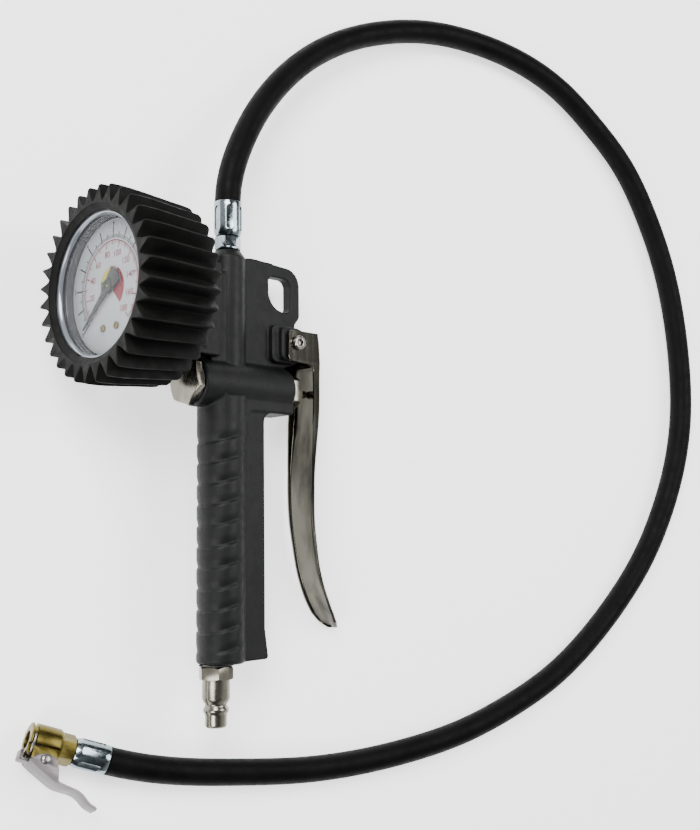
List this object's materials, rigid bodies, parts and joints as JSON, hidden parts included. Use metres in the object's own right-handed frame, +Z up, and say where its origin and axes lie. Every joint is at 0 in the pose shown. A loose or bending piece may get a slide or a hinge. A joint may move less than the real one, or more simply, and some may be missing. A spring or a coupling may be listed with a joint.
{
  "type": "tyre inflator",
  "caption": "Hand tyre inflator: pistol-grip valve gun with long trigger lever, pressure gauge in a ribbed rubber boot, air plug, and a rubber hose ending in a clip-on tyre chuck.",
  "frame": {"origin": "on the bench, below the centre of the bounding box of the gun and gauge, without the hose and the chuck", "axes": "+Z up from the bench; +Y along the grip from the air plug towards the hose port, the gun's longest extent; +X from the gauge towards the trigger lever. The gun lies on its side, rolled 19.34 degrees, resting on the gauge boot and the lever."},
  "size_m": [0.4073, 0.4218, 0.0958],
  "materials": {
    "cast": "charcoal painted casting, satin",
    "nickel": "nickel plated, slightly warm, polished",
    "steel": "bright",
    "zinc": "zinc plated, glossy",
    "brass": "satin, olive gold",
    "rubber": "matte",
    "seal": "matte",
    "plastic": "satin",
    "dial": "white printed sheet",
    "lens": "clear plastic",
    "pointer": "dark grey painted sheet"
  },
  "bodies": {
    "gun": {"air_hose": "rubber", "bourdon_tube": "brass", "cap_gasket": "seal", "chuck_body": "brass", "chuck_ferrule": "zinc", "chuck_gasket": "seal", "chuck_rivet": "steel", "chuck_spring_wire": "steel", "dial_plate": "dial", "dial_screw_left": "brass", "dial_screw_right": "brass", "gauge_bezel": "plastic", "gauge_boot": "rubber", "gauge_case": "steel", "gauge_lens": "lens", "gauge_seal": "seal", "gauge_socket": "brass", "gland_nut": "nickel", "gun_body": "cast", "hose_nut": "zinc", "inlet_plug": "nickel", "lens_gasket": "seal", "movement_back_plate": "brass", "movement_front_plate": "brass", "movement_pillar_1": "brass", "movement_pillar_2": "brass", "movement_pillar_3": "brass", "movement_pillar_4": "brass", "pivot_nut": "steel", "pivot_screw": "steel", "plug_seal": "seal", "stem_o_ring": "seal", "top_ferrule": "zinc", "valve_cap": "nickel", "valve_depressor": "brass", "valve_spring": "steel"},
    "trigger": {"trigger_lever": "nickel"},
    "push_valve": {"valve_pin": "steel", "valve_poppet": "brass", "poppet_seal": "seal"},
    "sector": {"sector_gear": "brass"},
    "pointer": {"pointer": "pointer", "pointer_shaft": "brass"},
    "link": {"tip_link": "steel"},
    "chuck_clip": {"chuck_lever": "steel"}
  },
  "joints": [
    {"name": "trigger_pivot", "type": "hinge", "parent": "gun", "child": "trigger", "pos_m": [0.04392, 0.0597, 0.01611], "axis": [-0.3312, 0, -0.9436], "range_deg": [0, 10], "stiffness_Nm_per_rad": 1, "springref_deg": -8.59},
    {"name": "valve_pin_slide", "type": "slide", "parent": "gun", "child": "push_valve", "axis": [-0.9436, 0, 0.3312], "range_m": [0, 0.0043], "deforming": ["valve_spring"]},
    {"name": "sector_turn", "type": "hinge", "parent": "gun", "child": "sector", "pos_m": [-0.0476, 0.0544, 0.04823], "axis": [-0.9436, 0, 0.3312], "range_deg": [0, 38.57], "stiffness_Nm_per_rad": 0.01, "springref_deg": -5.73},
    {"name": "pointer_spin", "type": "hinge", "parent": "gun", "child": "pointer", "pos_m": [-0.05326, 0.0745, 0.05022], "axis": [0.9436, 0, -0.3312], "range_deg": [0, 270]},
    {"name": "link_slide", "type": "slide", "parent": "gun", "child": "link", "axis": [0.3312, 0, 0.9436], "range_m": [0, 0.0047]},
    {"name": "chuck_clip_pivot", "type": "hinge", "parent": "gun", "child": "chuck_clip", "pos_m": [-0.07309, -0.13889, 0.01107], "axis": [0.1085, 0.3243, 0.9397], "range_deg": [0, 22], "stiffness_Nm_per_rad": 0.1, "springref_deg": -17.19}
  ],
  "couplings": [
    {"joint": "valve_pin_slide", "follows": "trigger_pivot", "m_per_rad": 0.0241},
    {"joint": "pointer_spin", "follows": "sector_turn", "ratio": 7},
    {"joint": "link_slide", "follows": "sector_turn", "m_per_rad": 0.00687}
  ]
}
